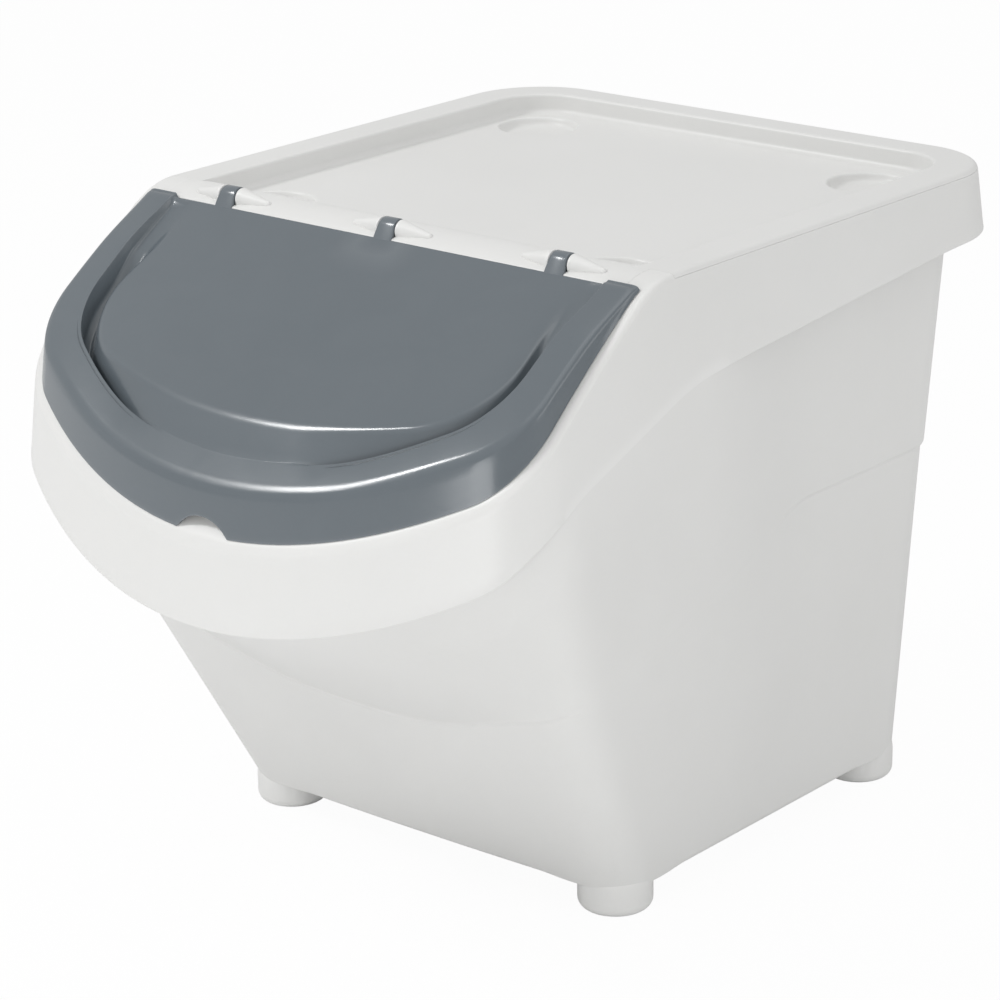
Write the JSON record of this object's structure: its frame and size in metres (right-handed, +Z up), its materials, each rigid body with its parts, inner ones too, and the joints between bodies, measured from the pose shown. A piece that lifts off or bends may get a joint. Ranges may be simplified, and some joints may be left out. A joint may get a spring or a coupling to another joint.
{
  "type": "stackable bin with flip lid",
  "caption": "Stackable dry-food bin on round feet, with a forward-leaning chute front, a sloping mouth closed by a hinged flap, and a recessed top that takes the feet of another bin.",
  "frame": {"origin": "on the floor, midway between the four feet", "axes": "front is -Y, +X is to the right as seen from the front, +Z is up"},
  "size_m": [0.313, 0.4235, 0.3241],
  "materials": {
    "white_plastic": "smooth moulded, satin gloss",
    "grey_plastic": "smooth moulded, satin gloss"
  },
  "bodies": {
    "bin": {"tub": "white_plastic", "top_cover": "white_plastic"},
    "flap": {"flap": "grey_plastic"}
  },
  "joints": [
    {"name": "flap_hinge", "type": "hinge", "parent": "bin", "child": "flap", "pos_m": [0, -0.1311, 0.319], "axis": [-1, 0, 0], "range_deg": [0, 180]}
  ]
}
